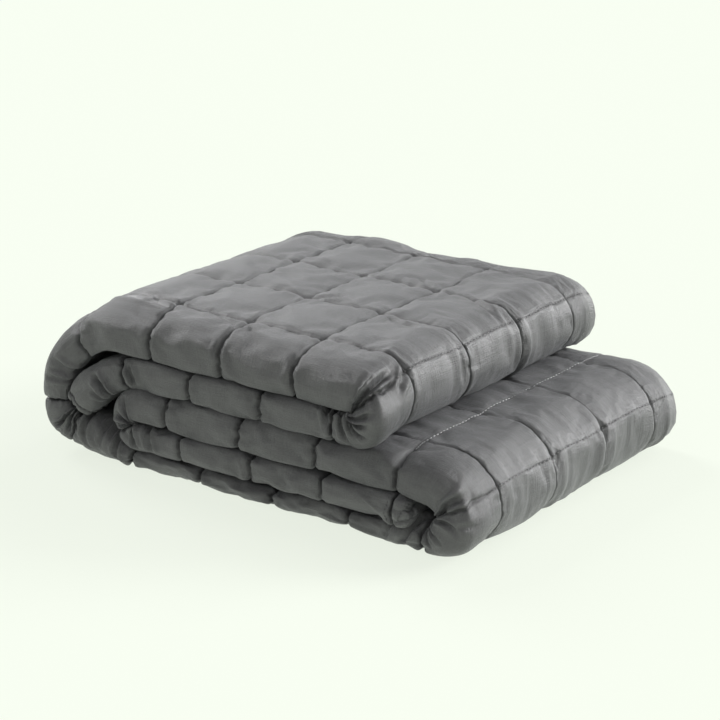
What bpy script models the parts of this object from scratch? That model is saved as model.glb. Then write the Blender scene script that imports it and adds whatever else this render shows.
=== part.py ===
"""A quilted weighted blanket, folded in four along its length and then folded crosswise into five layers.

Metres, +Z up. The front, where the lengthwise fold makes one rounded nose per layer, faces -Y.
X runs along the layers, from the wrapped end at the left to the two stacked folds at the right.

The folded strip is built as one sweep. A path in the XZ plane follows the inner face of the strip
from its drooping free end, through every fold, to the free end tucked inside. Rings stand across
that path, and each ring is a hairpin: two padded halves that meet in the front nose and lie a
little apart behind it.
"""

import math

import bpy
import numpy as np

# Sizes in metres
PITCH = 0.0762  # one quilted square
QUILT_DEPTH = 0.0036  # crown of a square over its seams
PRESSED_DEPTH = 0.0016  # the same on faces pressed between two layers
SLIT = 0.0016  # gap between the two halves of a layer, and between two layers at a fold
FREE_END_ROUND = 0.007  # length over which a free end is rounded off

# Sizes in squares (1 = PITCH)
FREE_END_THIN = 0.5  # thickness of the very end, as a share of the padding
FREE_END_STIFF = 0.6  # how far from a free end the layer begins to hang straight down
NOSE_INSIDE = 0.20  # depth of a layer's rounded front on the inner side of the strip
NOSE_FULLNESS = 2.6  # 2 is an ellipse, more is squarer
NOSE_FOLD = 0.25  # from the front of a nose to where its two halves part
BACK_ROUND = 0.22  # depth of the rounded back edge of each half
BACK_STEP = 0.07  # how far the inner half stops short of the outer one at the back
NOSE_SAG = 0.07  # how far a nose hangs below its layer
SAG_REACH = 0.60  # how far back that hang fades out
BACK_SAG = 0.05  # how far a back edge hangs
BACK_SAG_REACH = 0.50
RING_TURN = 26.0  # most degrees of a fold between two rings
SEAMS_ACROSS = (1.0, 2.0, 3.0, 4.0)  # where the long seams lie, front to back
SHOULDER = 0.14  # where a square's face has risen from its seam, as a share of the square
SHOULDER_RISE = 0.78  # how far it has risen there
FLAT_REST = 0.03  # how much the squares underneath are pressed flat on the surface
BOTTOM_LAYER = 0.24  # height of the bottom layer

# The path starts at the upper corner of the free end that droops inside the wrap.
START = (-0.215, 0.665)
START_HEADING = 68.0
START_HEM = 0.13  # squares from the free end to its hem seam, where the count of squares begins
START_SHAPE = (0.33, 0.47, 0.28, 4.38)  # thickness, front, shoulder, back

# One row for each stretch of the folded strip, in order along the path. length: of its inner face.
# turn: degrees, left positive. squares: quilted squares it takes up. thick, front, shoulder, back:
# at its far end, its thickness, the place of its nose, the depth over which the outer face rounds
# into that nose, and its back edge.
SECTIONS = (
    # name, length, turn, squares, thick, front, shoulder, back
    ("drooping end", 0.44, -23, 0.44, 0.35, 0.46, 0.28, 4.42),
    ("droop", 0.45, -25, 0.47, 0.36, 0.45, 0.28, 4.46),
    ("droop flattens", 0.55, -20, 0.57, 0.355, 0.45, 0.26, 4.50),
    ("second layer", 2.725, 0, 2.90, 0.360, 0.45, 0.28, 4.66),
    ("upper fold", 0.033, 180, 1.00, 0.465, 0.45, 0.50, 4.60),
    ("top layer, right", 0.72, 0, 0.75, 0.485, 0.45, 0.52, 4.54),
    ("top layer, middle right", 0.97, 0, 1.01, 0.485, 0.45, 0.52, 4.38),
    ("top layer, middle left", 0.88, 0, 0.92, 0.485, 0.45, 0.52, 4.60),
    ("top layer, left", 0.49, 0, 0.51, 0.470, 0.45, 0.50, 4.48),
    ("wrap shoulder", 0.62, 42, 0.72, 0.455, 0.45, 0.44, 4.40),
    ("wrap slope", 0.24, 10, 0.24, 0.45, 0.45, 0.40, 4.40),
    ("wrap side, upper", 0.31, 35, 0.45, 0.43, 0.45, 0.36, 4.42),
    ("wrap side, lower", 0.063, 8, 0.19, 0.42, 0.45, 0.34, 4.44),
    ("wrap foot", 0.13, 65, 0.86, 0.42, 0.46, 0.30, 4.46),
    ("rise off the surface", 0.78, 5, 0.97, 0.28, 0.48, 0.22, 4.50),
    ("bottom layer, left", 0.32, 15, 0.35, 0.265, 0.52, 0.20, 4.52),
    ("bottom layer, middle", 2.85, 0, 2.96, 0.265, 0.54, 0.20, 4.42),
    ("bottom layer, right", 0.78, 0, 0.82, 0.280, 0.48, 0.22, 4.50),
    ("lower fold, under", 0.275, 90, 0.75, 0.45, 0.45, 0.40, 4.54),
    ("lower fold, over", 0.275, 90, 0.93, 0.38, 0.45, 0.44, 4.56),
    ("third layer, ledge", 0.75, 0, 0.755, 0.37, 0.45, 0.36, 4.56),
    ("third layer", 2.99, 0, 2.985, 0.37, 0.45, 0.32, 4.46),
    ("inner fold", 0.033, 180, 0.895, 0.305, 0.46, 0.26, 4.50),
    ("fourth layer", 3.59, 0, 3.865, 0.305, 0.46, 0.24, 4.46),
)

# Colour and finish
GREY = (0.130, 0.132, 0.136, 1.0)
ROUGHNESS = 0.82


class Section:
    """One row of SECTIONS, with where it starts on the path."""

    def __init__(self, row, x, z, heading, u, shape):
        self.name, self.length, turn, self.squares = row[:4]
        self.shape = (shape, np.array(row[4:8], float))
        self.x, self.z, self.heading, self.turn, self.u = x, z, heading, math.radians(turn), u

    def place(self, t):
        """(x, z, heading) of the path at share t of the section, which is an arc or a straight line."""
        angle = self.heading + self.turn * t
        if abs(self.turn) < 1e-9:
            d = self.length * t
            return self.x + d * math.cos(angle), self.z + d * math.sin(angle), angle
        radius = self.length / self.turn
        x = self.x + radius * (math.sin(angle) - math.sin(self.heading))
        z = self.z - radius * (math.cos(angle) - math.cos(self.heading))
        return x, z, angle

    def sizes(self, t):
        """(thickness, front, shoulder, back), eased from the section's start to its end."""
        ease = t * t * (3 - 2 * t)
        return self.shape[0] * (1 - ease) + self.shape[1] * ease


def lay_path():
    x, z = START
    heading, u, shape = math.radians(START_HEADING), -START_HEM, np.array(START_SHAPE)
    sections = []
    for row in SECTIONS:
        section = Section(row, x, z, heading, u, shape)
        x, z, heading = section.place(1.0)
        u += section.squares
        shape = section.shape[1]
        sections.append(section)
    return sections, u


def seam_rise(share):
    """Height of a square's face at this share of the way across it: 0 on its seams, 1 on its crown."""
    share = share % 1.0
    edge = min(share, 1.0 - share)
    if edge >= SHOULDER:
        return SHOULDER_RISE + (1 - SHOULDER_RISE) * (edge - SHOULDER) / (0.5 - SHOULDER)
    return SHOULDER_RISE * edge / SHOULDER


def hairpin(thick, front, shoulder, back):
    """The ring as rows (y, w, middle y, middle w, normal y, normal w, rise across).

    w runs from 0 on the inner face to `thick` on the outer one. The middle is the point of the
    padding's own centre line nearest to the row, and a free end closes round it.
    """
    gap = SLIT / PITCH / 2
    half = thick / 2
    pad = half - gap
    upper, lower = half + gap + pad / 2, half - gap - pad / 2
    rows = []
    # outer face, back to front
    rows.append((back - BACK_ROUND * 1.6, thick, back - BACK_ROUND * 1.6, upper, 0, 1, 0.75))
    shares = (1 - SHOULDER, 0.5, SHOULDER, 0.0)
    across = [SEAMS_ACROSS[-1]] + [seam + share for seam in SEAMS_ACROSS[-2::-1] for share in shares]
    for y in across:
        rows.append((y, thick, y, upper, 0, 1, seam_rise(y)))
    # front nose, from the outer face round to the inner one, as two halves of a full oval
    split = front + NOSE_FOLD
    for degrees in (80, 60, 42, 24, 6, -12, -32, -56, -80):
        a = math.radians(degrees)
        nose = shoulder if a > 0 else NOSE_INSIDE
        along, up = math.cos(a) ** (2 / NOSE_FULLNESS), abs(math.sin(a)) ** (2 / NOSE_FULLNESS)
        y, w = front + nose * (1 - along), half + math.copysign(half * up, a)
        inner_y, inner_w = split - gap * math.cos(a), half + gap * math.sin(a)
        tilt = math.hypot(math.cos(a) / nose, math.sin(a) / half)
        normal = -math.cos(a) / nose / tilt, math.sin(a) / half / tilt
        rows.append((y, w, (y + inner_y) / 2, (w + inner_w) / 2, *normal, 1))
    # inner face, front to back, and its rounded back edge
    inner_back = back - BACK_STEP
    for y in (1.3, 1.8, 2.3, 2.8, 3.3, 3.8):
        rows.append((y, 0, y, lower, 0, -1, 1))
    rows += round_edge(inner_back, lower, pad)
    # the slit between the halves, in to the nose and out again
    for y in (3.4, 2.2, 1.2):
        rows.append((y, half - gap, y, lower, 0, 0, 0))
    rows.append((split, half - gap * 0.8, split - 0.06, lower, 0, 0, 0))
    rows.append((split - gap, half, (split + front) / 2, half, 0, 0, 0))
    rows.append((split, half + gap * 0.8, split - 0.06, upper, 0, 0, 0))
    for y in (1.2, 2.2, 3.4):
        rows.append((y, half + gap, y, upper, 0, 0, 0))
    rows += round_edge(back, upper, pad)
    return rows


def round_edge(back, middle, pad):
    """The rounded back edge of one half, from its inner side to its outer one."""
    rows = []
    for degrees in (-78, -45, 0, 45, 78):
        a = math.radians(degrees)
        y = back - BACK_ROUND * (1 - math.cos(a))
        w = middle + pad / 2 * math.sin(a)
        rows.append((y, w, back - BACK_ROUND, middle, math.cos(a) * 0.5, 0, 0.5))
    return rows


def lay_ring(section, u, end_gap):
    """The ring's points, in metres from the path's own origin."""
    t = (u - section.u) / section.squares
    x, z, heading = section.place(t)
    rows = np.array(hairpin(*section.sizes(t)))
    y, w, mid_y, mid_w, normal_y, normal_w, across = rows.T
    # a free end closes round the middle of the padding
    closing = 1.0
    if end_gap < FREE_END_ROUND / PITCH:
        round_off = math.sqrt(1 - (1 - end_gap * PITCH / FREE_END_ROUND) ** 2)
        closing = FREE_END_THIN + (1 - FREE_END_THIN) * round_off
    y, w = mid_y + (y - mid_y) * closing, mid_w + (w - mid_w) * closing
    # quilting: seams lie below the crowns
    depth = np.where(normal_w < -0.99, PRESSED_DEPTH, QUILT_DEPTH) / PITCH
    sunk = depth * (1 - seam_rise(u) * across) * closing
    y, w = y - normal_y * sunk, w - normal_w * sunk
    px, pz = x + w * math.sin(heading), z - w * math.cos(heading)
    # the weight presses the underside flat on the surface
    pz = np.maximum(pz - FLAT_REST, 0)
    # the nose and the back edge hang, and squeeze the bottom layer; a free end hangs within its own plane
    free = min(1, end_gap / FREE_END_STIFF)
    drift = (1 - free) * math.sin(heading) * math.cos(heading)
    drop = math.cos(heading) ** 2 + free * math.sin(heading) ** 2
    for reach, sag in (
        ((y - rows[:, 0].min()) / SAG_REACH, NOSE_SAG),
        ((rows[:, 0].max() - y) / BACK_SAG_REACH, BACK_SAG),
    ):
        reach = np.clip(1 - reach, 0, 1)
        down = sag * reach * reach * (3 - 2 * reach) * np.minimum(1, pz / BOTTOM_LAYER)
        px, pz = px + down * drift, pz - down * drop
    return np.column_stack((px, y, pz)) * PITCH


def section_at(sections, u):
    return [s for s in sections if s.u <= u + 1e-9][-1]


def heading_at(sections, u):
    section = section_at(sections, u)
    return section.place((u - section.u) / section.squares)[2]


def ring_stations(sections, last):
    """Where rings stand along the strip: on each seam, and on each square's shoulders and crown."""
    ends = [0.0, 0.35 * FREE_END_ROUND / PITCH, FREE_END_ROUND / PITCH]
    stations = [e - START_HEM for e in ends] + [last - e for e in ends]
    for square in range(int(last) + 1):
        for share in (0.0, SHOULDER, 0.5, 1 - SHOULDER):
            u = square + share
            if stations[2] + 0.03 < u < last - ends[-1] - 0.03:
                stations.append(u)
    # more of them round the folds
    turning = []
    for a, b in zip(sorted(stations), sorted(stations)[1:]):
        sharp = abs(heading_at(sections, b) - heading_at(sections, a))
        for k in range(1, math.ceil(sharp / math.radians(RING_TURN))):
            turning.append(a + (b - a) * k / math.ceil(sharp / math.radians(RING_TURN)))
    return sorted(stations + turning)


def blanket():
    sections, last = lay_path()
    points, count = [], 0
    stations = ring_stations(sections, last)
    for u in stations:
        points.append(lay_ring(section_at(sections, u), u, min(u + START_HEM, last - u)))
        count = len(points[-1])
    points = np.concatenate(points)
    faces = []
    for ring in range(len(stations) - 1):
        for i in range(count):
            j = (i + 1) % count
            a, b = ring * count, (ring + 1) * count
            faces.append((b + i, b + j, a + j, a + i))
    faces.append(tuple(range(count)))
    faces.append(tuple(range((len(stations) - 1) * count, len(stations) * count))[::-1])
    low, high = points.min(axis=0), points.max(axis=0)
    points = points - ((low[0] + high[0]) / 2, (low[1] + high[1]) / 2, low[2])
    return points, faces


def cloth_material():
    material = bpy.data.materials.new("fabric")
    material.use_nodes = True
    shader = material.node_tree.nodes["Principled BSDF"]
    shader.inputs["Base Color"].default_value = GREY
    shader.inputs["Roughness"].default_value = ROUGHNESS
    return material


for obj in list(bpy.data.objects):
    bpy.data.objects.remove(obj)

points, faces = blanket()
mesh = bpy.data.meshes.new("blanket")
mesh.from_pydata(points.tolist(), [], faces)
mesh.materials.append(cloth_material())
mesh.update()
body = bpy.data.objects.new("blanket", mesh)
bpy.context.scene.collection.objects.link(body)
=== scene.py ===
# %% [markdown]
# # A folded, quilted weighted blanket
#
# A weighted blanket is two sheets of cotton sateen with padding and glass beads between them, sewn
# through in a grid of squares so that the filling stays where it is. Here it is folded lengthwise,
# which makes one rounded front edge, and then crosswise into a stack of layers. The solid model has
# the whole folded form. This script gives it the cloth: crowned squares, drawn-in seams, puckers,
# creases, stitches and the soft shine of sateen.

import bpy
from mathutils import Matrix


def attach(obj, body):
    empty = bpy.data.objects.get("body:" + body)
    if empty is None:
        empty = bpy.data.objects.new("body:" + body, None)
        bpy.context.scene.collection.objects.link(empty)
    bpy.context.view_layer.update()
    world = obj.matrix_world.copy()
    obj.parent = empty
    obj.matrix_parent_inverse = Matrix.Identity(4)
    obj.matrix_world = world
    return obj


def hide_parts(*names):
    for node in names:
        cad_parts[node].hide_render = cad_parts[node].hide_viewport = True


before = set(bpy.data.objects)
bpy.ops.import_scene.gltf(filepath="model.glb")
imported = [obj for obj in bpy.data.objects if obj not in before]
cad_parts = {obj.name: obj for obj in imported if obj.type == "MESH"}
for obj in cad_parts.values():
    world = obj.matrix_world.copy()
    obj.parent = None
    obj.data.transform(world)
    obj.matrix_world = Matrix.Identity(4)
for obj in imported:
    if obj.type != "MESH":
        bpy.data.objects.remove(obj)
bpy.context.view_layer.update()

# %% [markdown]
# ## Tools
#
# numpy works on all the points of the cloth at once, and bpy turns the result into meshes. The last
# two imports find a place on a mesh, which the stitches need.

# %% Tools used throughout
import math

import bpy
import numpy as np
from mathutils import Vector
from mathutils.bvhtree import BVHTree
from mathutils.interpolate import poly_3d_calc

print("Blender", bpy.app.version_string, "and numpy", np.__version__)

# %% [markdown]
# ## How the blanket is folded
#
# One square of the quilting is the natural unit, so the fold is written in squares. A path follows
# the inner face of the folded strip from its drooping end to the end tucked inside. Each row is one
# straight or curved stretch of it. The blanket could also be draped by a simulation, but a strip laid
# along a given path folds where the real one does, and every seam stays at a known place.

# %% The fold, stretch by stretch
PITCH = 0.0762  # one quilted square, in metres
START, START_HEADING, START_HEM = (-0.215, 0.665), 68.0, 0.13
START_SHAPE = (0.33, 0.47, 0.28, 4.38)
SECTIONS = (
    # name, length, turn in degrees, squares of blanket, then the ring at its end:
    # thickness, place of the front, depth of its shoulder, place of the back edge
    ("drooping end", 0.44, -23, 0.44, 0.36, 0.45, 0.24, 4.42),
    ("droop", 0.45, -25, 0.47, 0.36, 0.45, 0.24, 4.46),
    ("droop flattens", 0.55, -20, 0.57, 0.355, 0.45, 0.21, 4.50),
    ("second layer", 2.725, 0, 2.90, 0.360, 0.45, 0.21, 4.66),
    ("upper fold", 0.033, 180, 1.00, 0.465, 0.45, 0.50, 4.56),
    ("top layer, right", 0.72, 0, 0.75, 0.485, 0.45, 0.52, 4.51),
    ("top layer, middle right", 0.97, 0, 1.01, 0.485, 0.45, 0.52, 4.38),
    ("top layer, middle left", 0.88, 0, 0.92, 0.485, 0.45, 0.52, 4.60),
    ("top layer, left", 0.49, 0, 0.51, 0.470, 0.45, 0.50, 4.44),
    ("wrap shoulder", 0.61, 42, 0.72, 0.455, 0.45, 0.44, 4.34),
    ("wrap slope", 0.21, 10, 0.24, 0.45, 0.45, 0.40, 4.36),
    ("wrap side, upper", 0.31, 35, 0.45, 0.43, 0.45, 0.36, 4.42),
    ("wrap side, lower", 0.063, 8, 0.19, 0.42, 0.45, 0.34, 4.44),
    ("wrap foot", 0.13, 65, 0.86, 0.42, 0.46, 0.26, 4.46),
    ("rise off the surface", 0.78, 5, 0.97, 0.28, 0.47, 0.20, 4.50),
    ("bottom layer, left", 0.28, 15, 0.35, 0.265, 0.50, 0.17, 4.52),
    ("bottom layer, middle", 2.85, 0, 2.96, 0.265, 0.52, 0.16, 4.42),
    ("bottom layer, right", 0.78, 0, 0.82, 0.280, 0.47, 0.18, 4.50),
    ("lower fold, under", 0.275, 90, 0.75, 0.45, 0.45, 0.38, 4.58),
    ("lower fold, over", 0.275, 90, 0.93, 0.38, 0.45, 0.42, 4.60),
    ("third layer, ledge", 0.75, 0, 0.755, 0.37, 0.45, 0.30, 4.56),
    ("third layer", 2.99, 0, 2.985, 0.37, 0.45, 0.22, 4.46),
    ("inner fold", 0.033, 180, 0.895, 0.305, 0.45, 0.20, 4.50),
    ("fourth layer", 3.59, 0, 3.865, 0.305, 0.45, 0.18, 4.46),
)


def lay_path():
    """Each stretch as a dict: where it starts, which way it heads, and its sizes at both ends."""
    x, z = START
    heading, u, shape = math.radians(START_HEADING), -START_HEM, np.array(START_SHAPE)
    stretches = []
    for name, length, turn, squares, *sizes in SECTIONS:
        s = dict(name=name, x=x, z=z, heading=heading, turn=math.radians(turn), length=length,
                 u=u, squares=squares, shape=(shape, np.array(sizes)))
        stretches.append(s)
        x, z, heading = place_on(s, 1.0)
        u, shape = u + squares, s["shape"][1]
    return stretches, u


def place_on(s, t):
    """(x, z, heading) of the path at share t of a stretch."""
    angle = s["heading"] + s["turn"] * t
    if abs(s["turn"]) < 1e-9:
        d = s["length"] * t
        return s["x"] + d * math.cos(angle), s["z"] + d * math.sin(angle), angle
    radius = s["length"] / s["turn"]
    return (s["x"] + radius * (math.sin(angle) - math.sin(s["heading"])),
            s["z"] - radius * (math.cos(angle) - math.cos(s["heading"])), angle)


STRETCHES, LAST = lay_path()
print(f"{len(STRETCHES)} stretches, {LAST + START_HEM:.2f} squares of blanket")

# %% [markdown]
# ## Across the strip
#
# Cut across, each layer is a hairpin: two padded halves joined by a rounded nose at the front. Places
# across it are counted in squares too. v is 0 at the very front, 1 to 4 on the long seams of the
# outer half, and -1 to -4 on those of the inner half, so that a crease or a stitch can be put down by
# its place on the cloth, whatever the fold does with it.

# %% The rounded front of a ring
NOSE_INSIDE = 0.12  # depth of the nose's lower half, which the upper half rests on
NOSE_FULLNESS = 3.2  # 2 is an ellipse, and more is squarer
NOSE_POINTS = 61


def nose_points(thick, front, shoulder):
    """The front of a ring between the first seams of its two halves, even along the cloth."""
    half = thick / 2
    pts = [(1.0, thick)]
    for degrees in np.linspace(90, -90, NOSE_POINTS):
        a = math.radians(degrees)
        depth = shoulder if a > 0 else NOSE_INSIDE
        fullness = NOSE_FULLNESS - 2.6 * max(0, shoulder - 0.2) if a > 0 else NOSE_FULLNESS
        along = max(math.cos(a), 0) ** (2 / fullness)
        up = abs(math.sin(a)) ** (2 / fullness)
        pts.append((front + depth * (1 - along), half + math.copysign(half * up, a)))
    pts = np.array(pts + [(1.0, 0.0)])
    run = np.concatenate(([0], np.cumsum(np.hypot(*np.diff(pts, axis=0).T))))
    even = np.linspace(0, run[-1], NOSE_POINTS)
    return np.interp(even, run, pts[:, 0]), np.interp(even, run, pts[:, 1])


nose = np.array(nose_points(0.48, 0.45, 0.5)).T
print("front of the top layer, in squares:", np.round(nose[::15], 2).tolist())

# %% The whole ring
SLIT = 0.0016  # between the two halves of a layer, in metres
NOSE_FOLD = 0.25  # how far behind the front the slit starts
BACK_ROUND, BACK_STEP = 0.22, 0.07  # of the back edges: their rounding, and the inner one's step back


def ring(thick, front, shoulder, back):
    """Columns v, y, w, middle y, middle w. w is 0 on the inner face and `thick` on the outer one."""
    gap = SLIT / PITCH / 2
    half = thick / 2
    pad = half - gap
    upper, lower = half + gap + pad / 2, half - gap - pad / 2
    split, inner_back = front + NOSE_FOLD, back - BACK_STEP
    rows = []
    turn = np.radians(np.linspace(-90, 90, 13))
    for a in turn:
        rows.append((4.8 - 0.4 * a / math.pi, back - BACK_ROUND * (1 - math.cos(a)),
                     upper + pad / 2 * math.sin(a), back - BACK_ROUND, upper))
    for y in (4.0, 3.0, 2.0):
        rows.append((y, y, thick, y, upper))
    ys, ws = nose_points(thick, front, shoulder)
    for v, y, w in zip(np.linspace(1, -1, len(ys)), ys, ws):
        side = min(1, max(-1, (w - half) / (0.3 * half)))
        rows.append((v, y, w, (y + max(y, split)) / 2, (w + half + side * gap) / 2))
    for y in (2.0, 3.0, 4.0):
        rows.append((-y, y, 0, y, lower))
    for a in turn:
        rows.append((-4.8 - 0.4 * a / math.pi, inner_back - BACK_ROUND * (1 - math.cos(a)),
                     lower + pad / 2 * math.sin(a), inner_back - BACK_ROUND, lower))
    for v, y, w in ((-6.0, split + 0.1, half - gap), (-6.1, split - gap, half),
                    (-6.2, split + 0.1, half + gap), (-7.2, back - BACK_ROUND - 0.1, half + gap)):
        rows.append((v, y, w, y, upper if v < -6.1 else lower))
    return np.array(rows)


print("a ring of the top layer:", len(ring(0.48, 0.45, 0.5, 4.5)), "rows")

# %% [markdown]
# ## Rings along the path
#
# Each ring stands square to the path at its own u, with sizes that ease from one stretch to the next.
# At a free end the ring closes towards its middle. The front and back sag a little under the weight,
# and whatever would sink into the surface rests on it.

# %% Lay a ring on the path
ORIGIN = (2.2457, 2.5486)  # the part's origin, in squares from the path's
FREE_END_ROUND, FREE_END_STIFF = 0.092, 0.6
FLAT_REST, BOTTOM_LAYER = 0.03, 0.24
NOSE_SAG, SAG_REACH, BACK_SAG, BACK_SAG_REACH = 0.07, 0.60, 0.05, 0.50


def lay_ring(u, v):
    """Points of the cloth at one place u along the strip and many places v across it, in metres."""
    s = [s for s in STRETCHES if s["u"] <= u + 1e-9][-1]
    t = (u - s["u"]) / s["squares"]
    x, z, heading = place_on(s, t)
    ease = t * t * (3 - 2 * t)
    rows = ring(*(s["shape"][0] * (1 - ease) + s["shape"][1] * ease))
    y, w, mid_y, mid_w = (np.interp(-v, -rows[:, 0], rows[:, k]) for k in (1, 2, 3, 4))
    end_gap = min(u + START_HEM, LAST - u)
    if end_gap < FREE_END_ROUND:
        closing = 0.08 + 0.92 * math.sqrt(1 - (1 - end_gap / FREE_END_ROUND) ** 2)
        y, w = mid_y + (y - mid_y) * closing, mid_w + (w - mid_w) * closing
    px, pz = x + w * math.sin(heading), z - w * math.cos(heading)
    pz = np.maximum(pz - FLAT_REST, 0)
    free = min(1, end_gap / FREE_END_STIFF)
    drift = (1 - free) * math.sin(heading) * math.cos(heading)
    drop = math.cos(heading) ** 2 + free * math.sin(heading) ** 2
    low, high = rows[:, 1].min(), rows[:, 1].max()
    for reach, sag in (((y - low) / SAG_REACH, NOSE_SAG), ((high - y) / BACK_SAG_REACH, BACK_SAG)):
        reach = np.clip(1 - reach, 0, 1)
        down = sag * reach * reach * (3 - 2 * reach) * np.minimum(1, pz / BOTTOM_LAYER)
        px, pz = px + down * drift, pz - down * drop
    return np.column_stack((px - ORIGIN[0], y - ORIGIN[1], pz)) * PITCH


print("front of the top layer, mm:", np.round(1000 * lay_ring(7.0, np.array([0.0]))[0], 1).tolist())

# %% [markdown]
# ## The cloth laid out flat
#
# The skin starts as a flat grid whose points hold their own u and v. The squares that show are cut
# finer with Subdivide while it is flat, which is easy there and keeps the hidden layers light. Only
# then is each point carried to its place in the fold.

# %% Where the lines of the grid run
STEPS = 11  # faces along a square, doubled where the cloth shows, and again at the folds and corners
CROWDING = 0.4


def gather(stations):
    """The same stations, crowded towards the seams, where the cloth bends most."""
    return stations - CROWDING * np.sin(2 * np.pi * stations) / (2 * np.pi)


def along_stations():
    ends = np.array([0, 0.06, 0.25, 0.6, 1.0]) * FREE_END_ROUND
    first, last = np.ceil((-START_HEM + ends[-1]) * STEPS + 0.3), np.floor((LAST - ends[-1]) * STEPS - 0.3)
    return np.concatenate((ends - START_HEM, gather(np.arange(first, last + 1) / STEPS), LAST - ends[::-1]))


def across_stations():
    return np.concatenate((np.linspace(5.0, 4.6, 9)[:-1], np.linspace(4.6, 4.0, 7)[:-1],
                           gather(np.linspace(4, 1, 3 * STEPS + 1))[:-1], np.linspace(1, -1, 19)[:-1],
                           np.linspace(-1, -4, 13)[:-1], np.linspace(-4, -4.6, 4)[:-1],
                           np.linspace(-4.6, -5.0, 8)[:-1], (-5.0, -5.4, -5.8, -6.1, -6.4, -6.8)))


us, vs = along_stations(), across_stations()
print(len(us), "lines across the strip,", len(vs), "lines along it")


# %% Make the grid, and cut it finer where it shows
def shows(u, v):
    """Whether the cloth at (u, v) is seen without unfolding the blanket."""
    outside = (4.2 < u < 11.8) or (15.7 < u < 18.8)
    return (outside and -0.6 < v < 4.55) or -0.55 < v < 0.95


def crumples(u, v):
    """Whether it is one of the places with fine creases: the faces of both folds, and the corners."""
    faces = (4.1 < u < 5.55 or 16.0 < u < 17.55) and 0.6 < v < 4.45
    corners = 3.75 < u < 5.5 or 15.5 < u < 17.4 or u < 1.2 or 9.2 < u < 12.0 or 21.3 < u < 22.8 or u > 25.6
    return faces or (corners and -0.6 < v < 0.95)


n = len(vs)
points = [(u, v, 0) for u in us for v in vs]
faces = [((i + 1) * n + j, (i + 1) * n + (j + 1) % n, i * n + (j + 1) % n, i * n + j)
         for i in range(len(us) - 1) for j in range(n)]
faces += [tuple(range(n)), tuple(range((len(us) - 1) * n, len(us) * n))[::-1]]
mesh = bpy.data.meshes.new("blanket_cloth")
mesh.from_pydata(points, [], faces)
cloth = bpy.data.objects.new("blanket_cloth", mesh)
bpy.context.scene.collection.objects.link(cloth)
for o in bpy.context.selected_objects:
    o.select_set(False)
bpy.context.view_layer.objects.active = cloth
cloth.select_set(True)
for finer in (shows, crumples):
    for items in (mesh.vertices, mesh.edges, mesh.polygons):
        items.foreach_set("select", [False] * len(items))
    for f in mesh.polygons:
        f.select = len(f.vertices) < 9 and finer(f.center.x, f.center.y)
    bpy.ops.object.mode_set(mode="EDIT")
    bpy.ops.mesh.select_mode(type="FACE")
    bpy.ops.mesh.subdivide(number_cuts=1, ngon=False)
    bpy.ops.object.mode_set(mode="OBJECT")
print(len(mesh.vertices), "points,", sum(len(f.vertices) - 2 for f in mesh.polygons), "triangles")

# %% [markdown]
# ## Fold it
#
# Every point asks the path where its u lies and the ring where its v lies. The flat places are kept
# in two arrays, because the seams, puckers and creases below are all put down by them.

# %% Carry the grid into the fold
def points_of(some_mesh):
    found = np.empty(len(some_mesh.vertices) * 3, np.float32)
    some_mesh.vertices.foreach_get("co", found)
    return found.reshape(-1, 3).astype(float)


U, V = np.round(points_of(mesh)[:, :2], 5).T
folded = np.empty((len(U), 3))
for u in np.unique(U):
    here = U == u
    folded[here] = lay_ring(u, V[here])


def set_points(co):
    """Moves the points of the cloth, but none of them below the surface it lies on."""
    co[:, 2] = np.maximum(co[:, 2], 0)
    mesh.vertices.foreach_set("co", co.astype(np.float32).ravel())
    mesh.update()


def normals():
    found = np.empty(len(mesh.vertices) * 3, np.float32)
    mesh.vertices.foreach_get("normal", found)
    return found.reshape(-1, 3).astype(float)


set_points(folded)
print("folded size, mm:", np.round(1000 * (folded.max(axis=0) - folded.min(axis=0)), 1))

# %% [markdown]
# ## Crowned squares and drawn-in seams
#
# The filling lifts each square, and the stitching holds its four sides down. A square rises steeply
# beside its seam and is nearly level in the middle. Seams are deepest round the front edge, where the
# padding of both halves meets. They are shallow over the two folds, where the cloth is drawn tight,
# and on the inner half, which the weight presses flat.

# %% Smooth noise, the rise of a square, and how a seam strays
def noise(x, y, seed):
    """Smooth noise from -1 to 1, about one bump a unit."""
    table = np.random.default_rng(seed).uniform(-1, 1, (97, 89))
    xi, yi = np.floor(x).astype(int), np.floor(y).astype(int)
    fx, fy = x - xi, y - yi
    fx, fy = fx * fx * fx * (fx * (fx * 6 - 15) + 10), fy * fy * fy * (fy * (fy * 6 - 15) + 10)
    at = lambda i, j: table[(xi + i) % 97, (yi + j) % 89]
    return (at(0, 0) * (1 - fx) + at(1, 0) * fx) * (1 - fy) + (at(0, 1) * (1 - fx) + at(1, 1) * fx) * fy


def to_seam(place):
    """How far it is to the nearest seam, in squares."""
    return np.minimum(place % 1, 1 - place % 1)


def rise(place, steep, reach=0.018):
    """0 on a seam, 1 in the middle of a square: steep at first, then slowly crowned."""
    d = to_seam(place)
    return steep * (1 - np.exp(-d / reach)) + (1 - steep) * (1 - (1 - 2 * d) ** 2)


def wander(u, v):
    """How far a seam across the strip strays from its straight line, most of all on the front edge."""
    slow = 0.014 * noise(u * 0.9, v * 2.2, 14)
    return slow + np.clip(1.15 - np.abs(v), 0, 1) * (0.020 * noise(u * 3.1, v * 7.0, 11)
                                                     + 0.011 * noise(u * 3.1, v * 19, 12))


print("noise at three places:", np.round(noise(np.array([0.5, 1.5, 2.5]), 0.5, 3), 2).tolist())

# %% How far each point is drawn in by its seams
QUILT_DEPTH, PRESSED_DEPTH, NOSE_DEPTH = 0.0040, 0.0016, 0.0082
STEEP, STEEPER_ON_NOSE = 0.7, 0.14
UPPER_FOLD, LOWER_FOLD = 5, 17  # the seams that run over the two folds
BACK_ROUNDS, BACK_EDGE = 4.6, 5  # v where the back edge starts to round, and where it ends

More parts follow.
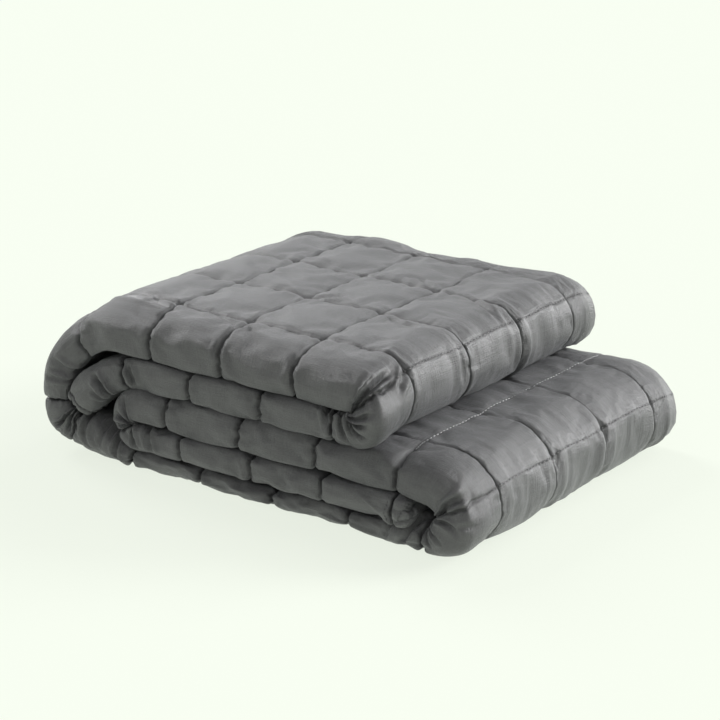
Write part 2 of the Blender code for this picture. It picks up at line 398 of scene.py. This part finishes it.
on_nose = np.clip(1.15 - np.abs(V), 0, 1)
across = np.where(np.abs(V) < 1, rise(0.5 * (1 - np.abs(V)), STEEP), rise(V, STEEP))
along = rise(U + wander(U, V), STEEP + STEEPER_ON_NOSE * on_nose)
over_lower = np.abs(U - LOWER_FOLD) < 0.5
taut = ((np.abs(U - UPPER_FOLD) < 0.5) | over_lower) * np.clip((V - 0.6) / 0.5, 0, 1)
flattened = np.maximum(0.8 * taut, 0.45 * (over_lower & (np.abs(V) < 1.2)))
along = 1 - (1 - along) * (1 - flattened)  # the seam over each fold is pulled flat
inner = V < -0.9
slit = V < -4.95
depth = np.where(inner, PRESSED_DEPTH, QUILT_DEPTH + (NOSE_DEPTH - QUILT_DEPTH) * on_nose)
from_back = np.clip((BACK_EDGE - np.abs(V)) / (BACK_EDGE - BACK_ROUNDS), 0, 1)
depth = np.where(np.abs(V) > BACK_ROUNDS, depth * from_back, depth)
tight = np.maximum(np.exp(-((U - 4.9) / 0.75) ** 4), np.exp(-((U - 17.5) / 1.45) ** 4))
depth = depth * (1 - 0.45 * tight * np.clip((V - 0.5) / 0.5, 0, 1))
quilting = -depth * (1 - along * np.where(np.abs(V) > 4, np.maximum(across, 0.6), across))
print("seams drawn in by up to", round(-1000 * quilting.min(), 1), "mm")

# %% [markdown]
# ## Puckers and gathers
#
# Sewing shortens the cloth a little, so short puckers stand square to each seam and fade out within a
# couple of centimetres. Longer gathers run down the faces of the two folds, mostly below the stitched
# line. Both come from a smooth noise stretched away from the seam, so they are uneven but never change
# from one run to the next.

# %% Puckers, gathers and a slow ripple
PUCKER, RIPPLE, GATHER, PINCH = 0.0010, 0.0007, 0.0014, 0.0022
PUCKER_REACH, PUCKER_START, PINCH_REACH = 0.12, 0.02, 0.05  # in squares

seam_u = to_seam(U)
seam_v = np.where(np.abs(V) < 0.5, 0.5, to_seam(np.abs(V)))
beside = lambda d: np.exp(-d / PUCKER_REACH) * (1 - np.exp(-d / PUCKER_START))
from_v_seams = noise(U * 9.5, V * 1.3, 3) + 0.6 * noise(U * 17, V * 2.1, 4)
from_u_seams = (noise(U * 1.3, V * 9.5, 5) + 0.6 * noise(U * 2.1, V * 17, 6)) * (1 + 1.3 * on_nose)
pucker = PUCKER * (beside(seam_v) * from_v_seams + beside(seam_u) * from_u_seams)
pinched = np.exp(-(seam_u ** 2 + to_seam(np.abs(V)) ** 2) / PINCH_REACH ** 2)
pucker -= PINCH * pinched * (1 - 0.8 * tight) * (V > 0.5)

on_fold = ((U > 4.1) & (U < 5.6)) | ((U > 16.0) & (U < 17.7))
line = np.where(U < 9, UPPER_FOLD, LOWER_FOLD)
below = np.clip(1 - (U - line) / 0.25, 0.25, 1)
patchy = np.clip(0.55 + 0.9 * noise(U * 1.3, V * 2.6, 13), 0.1, 1)
folds = noise(U * 1.1, V * 8.3, 9) + 0.7 * noise(U * 1.6, V * 14.5, 10)
pucker += GATHER * on_fold * np.clip((V - 0.5) / 0.4, 0, 1) * below * patchy * folds

ripple = RIPPLE * (noise(U * 2.3, V * 2.0, 7) + 0.5 * noise(U * 4.7, V * 4.1, 8))
detail = np.where(slit, 0, quilting + np.where(inner, 0, pucker + ripple))
print("quilting from", round(1000 * detail.min(), 2), "to", round(1000 * detail.max(), 2), "mm")

# %% [markdown]
# ## Full places
#
# Padding bunches up where the strip turns. Each full place is one row of a short table in the cloth's
# own squares, and a soft swelling on the cloth. Sculpting would also do, but a row is easy to move.

# %% Full places
FULL = (
    # u, v, reach along, reach across, height in mm
    (4.74, 0.00, 0.20, 0.50, 4.5),  # ball at the front of the upper fold
    (5.45, 0.05, 0.25, 0.40, 1.5),  # and the front of the top layer next to it
    (0.05, 0.10, 0.45, 0.70, 5.0),  # drooping end
    (10.45, 0.30, 0.30, 0.50, 1.5),  # foot of the wrap
    (11.30, -0.55, 0.45, 0.35, 8.0),  # bottom layer under the drooping end
    (12.00, -0.60, 0.50, 0.30, 4.0),
    (15.85, -0.60, 0.35, 0.35, 10.0),  # bottom layer where it rises into the lower fold
    (16.55, -0.45, 0.35, 0.30, 6.0),
    (17.55, -0.60, 0.35, 0.30, 5.0),
    (26.10, 0.00, 0.30, 0.60, 4.0),  # end tucked inside
)
full = sum(h / 1000 * np.exp(-((U - u) / ru) ** 2 - ((V - v) / rv) ** 2) for u, v, ru, rv, h in FULL)
full = np.where(V > -1.2, full, 0)
print(len(FULL), "full places, up to", round(1000 * full.max(), 1), "mm")

# %% [markdown]
# ## Creases, put down one by one
#
# The spare cloth beside a fold goes into creases, which fan out from the inside of the turn. A crease
# is a line of two or three points on the cloth. It is pushed in along its middle, has a low ridge on
# each side and fades at both ends.

# %% Where the creases run
CREASES = (
    # depth and half width in mm, then points (u, v)
    (7.2, 2.0, (5.055, 0.78), (5.06, 0.15), (5.04, -0.55)),  # curl at the front of the upper fold
    (2.8, 2.2, (5.02, 1.00), (4.90, 0.66)),
    (5.0, 2.4, (3.86, -0.60), (3.94, 0.00)),  # spokes from the inside of the upper fold
    (5.0, 2.4, (4.13, -0.65), (4.14, -0.10), (4.24, 0.24)),
    (5.5, 2.4, (4.24, -0.65), (4.26, -0.20), (4.38, 0.10)),
    (5.5, 2.4, (4.36, -0.65), (4.42, -0.10), (4.54, 0.20)),
    (5.0, 2.4, (4.50, -0.60), (4.58, -0.20), (4.72, 0.14)),
    (4.4, 2.4, (4.66, -0.50), (4.80, 0.00), (4.86, 0.20)),
    (5.0, 3.0, (17.10, 0.45), (17.12, 0.02), (16.90, -0.35)),  # tuck at the front of the lower fold
    (4.2, 2.8, (16.92, -0.55), (16.86, -0.12), (16.70, 0.16)),
    (2.0, 2.4, (16.80, 0.05), (16.79, 0.40)),
    (4.4, 2.8, (16.55, -0.60), (16.47, -0.02)),
    (4.4, 2.8, (16.30, -0.60), (16.20, 0.02)),
    (5.5, 2.6, (15.98, -0.65), (15.72, 0.12)),
    (4.4, 2.6, (15.62, -0.50), (15.48, 0.18)),
    (4.1, 2.6, (9.46, 0.16), (9.40, -0.10), (9.26, -0.60)),  # gathers on the side of the wrap
    (4.1, 2.6, (9.56, 0.12), (9.46, -0.10), (9.34, -0.60)),
    (3.4, 2.6, (9.67, 0.16), (9.58, -0.15), (9.48, -0.60)),
    (4.4, 2.4, (8.95, 0.94), (8.45, 0.86), (7.97, 0.82)),  # tucks beside the first long seam of the top
    (3.3, 2.4, (8.60, 1.12), (8.02, 0.98)),
    (3.3, 2.2, (7.40, 0.90), (7.05, 0.78)),
    (3.3, 2.2, (6.95, 0.92), (6.78, 0.62)),
    (2.4, 2.4, (5.72, 3.10), (5.30, 2.86), (4.98, 2.66)),  # curved crease over the upper fold
    (2.2, 2.4, (5.98, 1.98), (5.60, 1.80), (5.30, 1.76)),
    (2.2, 2.4, (6.95, 2.02), (6.62, 2.20)),
    (2.2, 2.4, (6.05, 3.05), (6.38, 3.22), (6.60, 3.20)),
    (8.1, 3.0, (10.52, 0.20), (10.66, -0.02), (10.78, -0.60)),  # fold at the foot of the wrap
    (5.4, 3.0, (10.92, 0.10), (10.88, -0.30), (10.90, -0.65)),  # gathers of the bottom layer's left end
    (2.7, 2.4, (11.08, -0.05), (11.00, -0.60)),
    (4.7, 2.8, (11.24, 0.06), (11.17, -0.25), (11.12, -0.65)),
    (3.4, 2.4, (11.50, -0.02), (11.44, -0.55)),
    (2.0, 2.4, (11.62, -0.15), (11.56, -0.50)),
    (4.1, 2.6, (11.78, 0.08), (11.68, -0.45)),
    (8.1, 3.0, (0.55, -0.16), (0.60, 0.05), (0.66, 0.40)),  # drooping end
    (2.7, 2.6, (0.42, 0.05), (0.48, 0.40)),
    (4.7, 2.6, (1.12, -0.20), (1.17, 0.22)),
    (4.7, 2.6, (21.62, -0.45), (21.56, 0.25)),  # tip of the third and fourth layers
    (4.7, 2.6, (21.78, -0.45), (21.76, 0.15)),
    (4.7, 2.6, (21.90, -0.40), (21.94, 0.25)),
    (5.4, 2.6, (22.20, -0.40), (22.36, 0.22)),
    (4.7, 2.6, (22.48, -0.45), (22.58, 0.20)),
)
print(len(CREASES), "creases, the deepest", max(row[0] for row in CREASES), "mm")

# %% Press them in
RIDGE, RIDGE_PLACE, RIDGE_WIDTH = 0.45, 1.9, 0.9  # as shares of the crease's depth and half width


def crease(depth, width, *line):
    """A trough along a line on the cloth, with a low ridge on either side."""
    line = np.array(line)
    run = np.concatenate(([0], np.cumsum(np.hypot(*np.diff(line, axis=0).T))))
    near, place = np.full(len(U), 9.0), np.zeros(len(U))
    for k in range(len(line) - 1):
        (u0, v0), (u1, v1) = line[k], line[k + 1]
        du, dv = u1 - u0, v1 - v0
        t = np.clip(((U - u0) * du + (V - v0) * dv) / (du * du + dv * dv), 0, 1)
        d = np.hypot(U - u0 - t * du, V - v0 - t * dv)
        place = np.where(d < near, (run[k] + t * (run[k + 1] - run[k])) / run[-1], place)
        near = np.minimum(d, near)
    x = near * PITCH * 1000 / width
    fade = np.clip(4 * place, 0, 1) * np.clip(4 * (1 - place), 0, 1)
    profile = np.exp(-x * x) - RIDGE * np.exp(-((x - RIDGE_PLACE) / RIDGE_WIDTH) ** 2)
    return -depth / 1000 * np.where(V > -1.3, fade * profile, 0)


creased = sum(crease(*row) for row in CREASES)
detail = detail + full + creased
print("creases from", round(1000 * creased.min(), 1), "to", round(1000 * creased.max(), 1), "mm")

# %% [markdown]
# ## Shape the cloth
#
# All the heights add up to one number for each point, and the point moves that far along its own
# outward direction. Nothing goes below the surface the blanket lies on.

# %% Move every point outwards by its height
shaped = folded + normals() * detail[:, None]
set_points(shaped)
mesh.shade_smooth()

# %% [markdown]
# ## Wrinkles from the cloth itself
#
# The two covers hold a little more cloth than the squares need, and the filling presses it out. The
# Cloth modifier does the same here: the skin grows by a few per cent under a light pressure, while
# the seams and the faces hidden inside the fold are pinned. It buckles into wrinkles between the
# pins. The tops of the squares take only part of the movement, because there the weight lies flat.

# %% Settle the cloth
def weigh(obj, name, share):
    """A vertex group with a weight from 0 to 1 on each point."""
    group = obj.vertex_groups.new(name=name)
    share = np.round(share, 2)
    for value in np.unique(share[share > 0]):
        group.add(np.flatnonzero(share == value).tolist(), float(value), "REPLACE")


def settle(obj, hold, frames, pressure, growth):
    """Where the points of a piece of cloth end up, with `hold` from 0 (free) to 1 (pinned) on each."""
    weigh(obj, "sewn", hold)
    bpy.ops.object.modifier_add(type="CLOTH")
    modifier = obj.modifiers[-1]
    sheet = modifier.settings
    sheet.quality, sheet.mass = 4, 0.3
    sheet.tension_stiffness = sheet.compression_stiffness = 15
    sheet.shear_stiffness, sheet.bending_stiffness = 5, 0.1
    sheet.use_pressure, sheet.uniform_pressure_force = True, pressure
    sheet.vertex_group_mass, sheet.pin_stiffness = "sewn", 1
    sheet.shrink_min = -growth
    sheet.effector_weights.gravity = 0
    modifier.collision_settings.use_collision = False
    modifier.collision_settings.use_self_collision = False
    modifier.point_cache.frame_start, modifier.point_cache.frame_end = 1, frames
    scene = bpy.context.scene
    scene.frame_start, scene.frame_end = 1, frames
    for frame_number in range(1, frames + 1):
        scene.frame_set(frame_number)
    found = points_of(obj.evaluated_get(bpy.context.evaluated_depsgraph_get()).data)
    obj.modifiers.remove(modifier)
    scene.frame_set(1)
    return found


SEWN_REACH = 0.012  # how far a seam holds the cloth beside it, in squares
pinned = np.exp(-(np.minimum(seam_u + 0.5 * taut, seam_v) / SEWN_REACH) ** 2)
pinned = np.maximum(pinned, np.clip((-0.4 - V) / 0.4, 0, 1))  # hidden inside the fold
pinned = np.where(V > BACK_ROUNDS, 1, pinned)
settled = settle(cloth, pinned, frames=14, pressure=0.30, growth=0.028)
move = settled - shaped
reach = np.linalg.norm(move, axis=1)
print("moved, mm: typical %.2f, most %.2f" % (1000 * np.median(reach), 1000 * reach.max()))

# %% [markdown]
# ## Keep the wrinkles
#
# The pressure also swells each square into a dome, which is too full for cloth with glass beads in it.
# The dome is found by fitting one to every square, and most of it is taken back. What is left is the
# wrinkles, and their height is limited softly.

# %% Take back most of the swelling
WRINKLE_MOST = 0.0045
set_points(shaped)
outward = normals()
swell = (move * outward).sum(axis=1)
crown = (4 * (U % 1) * (1 - U % 1)) * np.where(np.abs(V) < 1, 1 - V * V, 4 * (V % 1) * (1 - V % 1))
row = np.where(np.abs(V) < 1, 0, np.floor(V))
square = np.unique(np.floor(U) * 100 + row, return_inverse=True)[1]
height = np.bincount(square, swell * crown) / np.bincount(square, crown * crown + 1e-9)
dome = height[square] * crown
over = np.minimum(np.clip((U - 5.1) / 0.4, 0, 1), np.clip((9.9 - U) / 0.6, 0, 1))
over = np.maximum(over, np.minimum(np.clip((U - 17.0) / 0.4, 0, 1), np.clip((19.5 - U) / 0.4, 0, 1)))
on_top = over * np.clip((V - 0.2) / 0.8, 0, 1)
move -= outward * (dome * (0.8 + 0.15 * on_top))[:, None]
move *= (1 - 0.35 * on_top)[:, None]
reach = np.linalg.norm(move, axis=1)
move *= (WRINKLE_MOST * np.tanh(reach / WRINKLE_MOST) / np.maximum(reach, 1e-9))[:, None]
shaped = shaped + move
set_points(shaped)
print("wrinkles kept, mm: typical %.2f" % (1000 * np.median(np.linalg.norm(move, axis=1))))

# %% [markdown]
# ## Round off the folded corners
#
# Bunched cloth turns over in soft rolls, with no sharp edges. A Smooth modifier rounds the front edge,
# fully at the lower fold, where the creases are crowded, and lightly elsewhere.

# %% Smooth the front edge
at_lower_fold = (U > 15.4) & (U < 17.6)
weigh(cloth, "rounded", np.clip((0.95 - np.abs(V)) / 0.3, 0, 1) * np.where(at_lower_fold, 1, 0.12))
bpy.ops.object.modifier_add(type="SMOOTH")
smoothing = cloth.modifiers[-1]
smoothing.factor, smoothing.iterations, smoothing.vertex_group = 0.5, 5, "rounded"
bpy.ops.object.modifier_apply(modifier=smoothing.name)
rounded = points_of(mesh)
print("rounded by up to %.1f mm" % (1000 * np.linalg.norm(rounded - shaped, axis=1).max()))
shaped = rounded
set_points(shaped)

# %% [markdown]
# ## Stitches
#
# The seams are lockstitched with thick thread. Each stitch is a short spindle that lies in its seam, so
# the thread catches light as beads along the line. Round the front edge the thread is buried in the
# padding, so no stitches are made there. Each free end has its hem row. A point of a stitch is found
# by dropping its u and v onto the flat cloth and carrying the hit to the folded one.

# %% Rows of stitches
SEWN = (
    # kind, place, from, to: seams across the strip hold u, those along it hold v
    *[("across", u, 0.75, 4.9) for u in range(4, 13)],
    *[("across", u, 0.75, 4.9) for u in range(15, 20)],
    *[("along", v, 3.9, 12.1) for v in (1, 2, 3, 4)],
    *[("along", v, 15.6, 19.0) for v in (1, 2, 3, 4)],
    ("across", 0.045, -0.6, 1.2), ("across", 25.93, -0.6, 1.2),
)
flat_faces = [tuple(f.vertices) for f in mesh.polygons
              if len(f.vertices) < 9 and V[f.vertices[0]] > -4.5]
flat_cloth = BVHTree.FromPolygons([(u, v, 0) for u, v in zip(U, V)], flat_faces)
outward = normals()


def on_cloth(u, v):
    """The point and the outward direction of the folded cloth at a flat place, or nothing off its edge."""
    hit, _, face, _ = flat_cloth.ray_cast((u, v, 1), (0, 0, -1))
    if face is None:
        return None
    ids = list(flat_faces[face])
    weights = np.array(poly_3d_calc([Vector((U[i], V[i], 0)) for i in ids], hit))
    return weights @ shaped[ids], weights @ outward[ids]


print(len(SEWN), "rows on", len(flat_faces), "faces")

# %% One stitch
SIDES, DIP, LIFT = 5, 0.0003, 0.6  # sides of the spindle, how far its tips dip, how far it lies proud


def stitch(a, b, lift, radius):
    """Points and faces of one spindle from a to b."""
    axis = (b - a) / np.linalg.norm(b - a)
    side = np.cross(axis, lift)
    side /= np.linalg.norm(side)
    up = np.cross(side, axis)
    points = [a - DIP * up, b - DIP * up]
    for t in (0.2, 0.8):
        for k in range(SIDES):
            c, s = math.cos(k * math.tau / SIDES), math.sin(k * math.tau / SIDES)
            points.append(a + (b - a) * t + radius * (c * side + (s + LIFT) * up))
    faces = []
    for k in range(SIDES):
        here, after = 2 + k, 2 + (k + 1) % SIDES
        faces += [(here, after, SIDES + after, SIDES + here), (0, after, here),
                  (1, SIDES + here, SIDES + after)]
    return points, faces


sample = stitch(np.zeros(3), np.array([0.003, 0, 0]), np.array([0, 0, 1]), 0.0004)
print("a stitch has", len(sample[0]), "points and", len(sample[1]), "faces")

# %% Sew the rows
STITCH, STITCH_GAP, THREAD, LEDGE_THREAD = 0.0030, 0.0012, 0.00038, 0.00051
LEDGE = 18  # the seam along the ledge

points, faces, painted_highlight_row, count = [], [], [], 0
step = (STITCH + STITCH_GAP) / PITCH
for kind, place, first, last in SEWN:
    for k in range(int((last - first) / step)):
        a, b = first + k * step, first + k * step + STITCH / PITCH
        if kind == "across":
            ends = [on_cloth(place - wander(place, t), t) for t in (a, b)]
        else:
            ends = [on_cloth(t, place) for t in (a, b)]
        if None in ends:
            continue
        (pa, na), (pb, nb) = ends
        crumpled = not 0.3 * STITCH < np.linalg.norm(pb - pa) < 1.6 * STITCH
        if crumpled or min(pa[2], pb[2]) < 0.001:
            continue
        on_ledge = kind == "across" and place == LEDGE
        more, round_it = stitch(pa, pb, na + nb, LEDGE_THREAD if on_ledge else THREAD)
        faces += [tuple(len(points) + i for i in f) for f in round_it]
        # the ledge row takes the light thread, a painted highlight
        painted_highlight_row += [int(on_ledge)] * len(round_it)
        points += more
        count += 1
thread_mesh = bpy.data.meshes.new("stitches")
thread_mesh.from_pydata([tuple(p) for p in points], [], faces)
thread_mesh.update()
thread_mesh.shade_smooth()
stitches = bpy.data.objects.new("stitches", thread_mesh)
bpy.context.scene.collection.objects.link(stitches)
print(count, "stitches,", sum(len(f) - 2 for f in faces), "triangles")

# %% [markdown]
# ## Materials
#
# A finish is a set of shader nodes. One small class wraps a socket, so that ordinary arithmetic adds
# the Math nodes, and a second one adds every other kind of node. A finish then reads like a recipe.

# %% A small helper for shader nodes
class Value:
    """Wraps a socket, so that an expression on it adds the Math nodes."""

    def __init__(self, tree, socket):
        self.tree, self.socket = tree, socket

    def math(self, operation, *others, first=None):
        node = self.tree.nodes.new("ShaderNodeMath")
        node.operation = operation
        for place, x in zip(node.inputs, (self if first is None else first,) + others):
            if isinstance(x, Value):
                self.tree.links.new(x.socket, place)
            else:
                place.default_value = x
        return Value(self.tree, node.outputs[0])

    def output(self, index):
        return Value(self.tree, self.socket.node.outputs[index])

    def __add__(self, x): return self.math("ADD", x)
    def __radd__(self, x): return self.math("ADD", self, first=x)
    def __sub__(self, x): return self.math("SUBTRACT", x)
    def __rsub__(self, x): return self.math("SUBTRACT", self, first=x)
    def __mul__(self, x): return self.math("MULTIPLY", x)
    def __rmul__(self, x): return self.math("MULTIPLY", self, first=x)
    def __truediv__(self, x): return self.math("DIVIDE", x)
    def __rtruediv__(self, x): return self.math("DIVIDE", self, first=x)
    def __pow__(self, x): return self.math("POWER", x)
    def __abs__(self): return self.math("ABSOLUTE")


class Finish:
    """A material and one method that adds a node: its type, its settings, then its sockets."""

    def __init__(self, name):
        self.material = bpy.data.materials.new(name)
        self.material.use_nodes = True
        self.tree = self.material.node_tree
        self.shader = self.tree.nodes["Principled BSDF"]

    def node(self, kind, settings=(), output=0, **sockets):
        node = self.tree.nodes.new("ShaderNode" + kind)
        for key, value in dict(settings).items():
            setattr(node, key, value)
        for key, value in sockets.items():
            place = node.inputs[int(key[1:])] if key[0] == "_" else node.inputs[key.replace("_", " ")]
            if isinstance(value, Value):
                self.tree.links.new(value.socket, place)
            else:
                place.default_value = value
        return Value(self.tree, node.outputs[output])

    def set(self, **sockets):
        for key, value in sockets.items():
            place = self.shader.inputs[key.replace("_", " ")]
            if isinstance(value, Value):
                self.tree.links.new(value.socket, place)
            else:
                place.default_value = value


print("every node is added by arithmetic on a Value, or by Finish.node")

# %% [markdown]
# ## A map of the cloth
#
# The flat places of the points become a UV map in metres. The weave keeps its true size and direction
# round every fold, as it does in a woven sheet.

# %% Lay the cloth's own sizes on it
uv = mesh.uv_layers.new(name="cloth")
corner = np.empty(len(mesh.loops), np.int32)
mesh.loops.foreach_get("vertex_index", corner)
places = np.column_stack((U + wander(U, V), V))[corner] * PITCH
uv.data.foreach_set("uv", places.astype(np.float32).ravel())
print("map of the cloth, m:", np.round([places.min(axis=0), places.max(axis=0)], 3).tolist())

# %% [markdown]
# ## Sateen
#
# Cotton sateen is a smooth, dense weave with a soft shine. Its colour is two greys, mixed by slubs in
# both directions of the thread, by soft clouds and by a fine grain. The same slubs and grain give it a
# low relief, with the threads as two fine waves. Along every seam runs a dark line, which the shader
# finds as the distance to the nearest whole square. It is partly the line of needle holes and partly
# painted shade of the seam's groove, which the mesh is too coarse to hold. Round the front edge,
# where the grooves are deepest, the painted shade is wider.

# %% The finish of the cloth
GREY = (0.060, 0.061, 0.063, 1)
GREY_WORN = (0.122, 0.123, 0.125, 1)
GREY_NEEDLE_HOLES_AND_SHADE = (0.008, 0.008, 0.009, 1)  # the dark seam line: needle holes, and painted shade of the seam's groove


def sateen():
    f = Finish("sateen")
    place = f.node("UVMap", {"uv_map": "cloth"})
    stretched = lambda x, y: f.node("Mapping", _0=place, Scale=(x, y, 1))
    slubs_u = f.node("TexNoise", _0=stretched(45, 800), Scale=1.0, Detail=3.0, Roughness=0.6)
    slubs_v = f.node("TexNoise", _0=stretched(800, 45), Scale=1.0, Detail=3.0, Roughness=0.6)
    clouds = f.node("TexNoise", _0=place, Scale=28.0, Detail=4.0, Roughness=0.62)
    grain = f.node("TexNoise", _0=place, Scale=760.0, Detail=2.0, Roughness=0.6)
    threads = f.node("TexWave", {"wave_profile": "SIN", "bands_direction": "Y"}, _0=place, Scale=460.0,
                     Distortion=0.6, Detail=1.0)
    rows = f.node("TexWave", {"wave_profile": "SIN", "bands_direction": "X"}, _0=place, Scale=260.0,
                  Distortion=0.6, Detail=1.0)
    wear = 0.35 + 2.2 * (slubs_u * 0.4 + slubs_v * 0.4 + clouds * 0.5 + grain * 0.6 - 0.95)
    colour = f.node("Mix", {"data_type": "RGBA"}, output=2, _0=wear, _6=GREY, _7=GREY_WORN)
    split = f.node("SeparateXYZ", _0=place)
    nearest = lambda axis: (split.output(axis) / PITCH).math("ROUND")
    from_u = abs(nearest(0) * PITCH - split.output(0))
    from_v = abs(nearest(1) * PITCH - split.output(1)) + (1 - abs(nearest(1)).math("MINIMUM", 1.0))
    # The dark line along each seam is the needle holes plus painted shade of the groove. The painted shade
    # is made wider round the front edge, where the grooves are deepest.
    on_front = (1.1 - abs(split.output(1)) / PITCH).math("MINIMUM", 1.0).math("MAXIMUM", 0.0)
    needle_holes_and_shade = f.node("MapRange", Value=from_u.math("MINIMUM", from_v),
                         From_Min=0.0005 + 0.0007 * on_front, From_Max=0.0016 + 0.0015 * on_front,
                         To_Min=0.95, To_Max=0.0)
    colour = f.node("Mix", {"data_type": "RGBA"}, output=2, _0=needle_holes_and_shade, _6=colour, _7=GREY_NEEDLE_HOLES_AND_SHADE)
    height = threads * 0.22 + rows * 0.14 + slubs_u * 0.9 + slubs_v * 0.8 + grain * 0.8
    relief = f.node("Bump", Strength=0.8, Distance=0.0006, Height=height)
    f.set(Base_Color=colour, Roughness=0.38 + 0.16 * clouds, Normal=relief, Sheen_Weight=0.25,
          Sheen_Roughness=0.35, Specular_IOR_Level=0.75)
    f.shader.inputs["Sheen Tint"].default_value = (0.9, 0.92, 0.95, 1)
    return f.material


# %% [markdown]
# ## Thread
#
# The stitching is plied cotton thread with a diagonal twist. It is grey like the cloth. The row along
# the ledge, where the lower layers come out from under the upper fold, is coloured light grey as a
# painted highlight, standing in for the glints its stitches catch.

# %% The finish of the thread
def thread(name, dark, light):
    f = Finish(name)
    coords = f.node("TexCoord", output=3)
    ply = f.node("TexWave", {"bands_direction": "DIAGONAL"}, _0=coords, Scale=900.0, Distortion=0.3)
    colour = f.node("Mix", {"data_type": "RGBA"}, output=2, _0=ply * 0.6, _6=dark, _7=light)
    f.set(Base_Color=colour, Roughness=0.5, Sheen_Weight=0.2,
          Normal=f.node("Bump", Strength=0.5, Distance=0.0001, Height=ply))
    return f.material


# %% [markdown]
# ## Finish and attach the pieces
#
# The cloth takes the place of the solid, which is hidden. The stitches ride along with it. Both are
# attached to the root of the part.

# %% Give each piece its finish, and attach both
mesh.materials.append(sateen())
thread_mesh.materials.append(thread("thread", (0.07, 0.07, 0.072, 1), (0.17, 0.17, 0.175, 1)))
# Light grey thread for the ledge row: a painted highlight for the glints on its stitches.
thread_mesh.materials.append(thread("thread_painted_highlight", (0.36, 0.36, 0.365, 1), (0.60, 0.60, 0.61, 1)))
thread_mesh.polygons.foreach_set("material_index", painted_highlight_row)
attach(cloth, "root")
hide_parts("blanket")
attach(stitches, "root")
print([m.name for m in bpy.data.materials])

# %% [markdown]
# ## Floor and backdrop
#
# The blanket lies on pale, matt paper. The paper glows a little by itself, so that it stays evenly
# pale out to its edges and still takes a soft shadow. The surroundings are plain and nearly white.

# %% Floor and backdrop
bpy.ops.mesh.primitive_plane_add(size=12, location=(0, 0, -0.0002))
floor = bpy.context.object
floor.name = "floor"
paper = Finish("paper")
paper.set(Base_Color=(0.128, 0.135, 0.121, 1), Roughness=1.0, Specular_IOR_Level=0.0,
          Emission_Color=(0.947, 1.0, 0.896, 1), Emission_Strength=0.80)
floor.data.materials.append(paper.material)
world = bpy.data.worlds.new("studio")
bpy.context.scene.world = world
world.use_nodes = True
world.node_tree.nodes["Background"].inputs[0].default_value = (1.0, 1.0, 0.99, 1)
world.node_tree.nodes["Background"].inputs[1].default_value = 0.54
print("paper floor and a plain surround")

# %% [markdown]
# ## Lamps and camera
#
# Three soft, distant lamps stand to the left and behind the blanket. The tops and the two folds shine,
# and the front edge stays in its own shade, which is what shows how full the layers are. The camera
# has a long lens and looks slightly down.

# %% Lamps and camera
def lamp(name, towards, softness, strength):
    """A soft, distant lamp that stands in the direction `towards`."""
    light = bpy.data.lights.new(name, "SUN")
    light.angle, light.energy = softness, strength
    obj = bpy.data.objects.new(name, light)
    bpy.context.scene.collection.objects.link(obj)
    obj.location = 2 * Vector(towards)
    obj.rotation_euler = Vector(towards).to_track_quat("Z", "Y").to_euler()


lamp("over the left", (-0.78, 0.25, 0.55), 0.40, 1.8)
lamp("behind the right", (0.56, 0.76, 0.33), 0.50, 4.3)
lamp("high at the back", (0.15, 0.76, 0.63), 0.45, 0.7)
camera = bpy.data.cameras.new("camera")
camera.sensor_width, camera.lens, camera.clip_end = 36, 112.26, 100
eye = bpy.data.objects.new("camera", camera)
bpy.context.scene.collection.objects.link(eye)
eye.location = (1.0557, -1.4271, 0.6774)
eye.rotation_euler = Vector((-0.5629, 0.7618, -0.3208)).to_track_quat("-Z", "Y").to_euler()
bpy.context.scene.camera = eye
bpy.context.scene.view_settings.view_transform = "Standard"
print("three lamps and a camera")
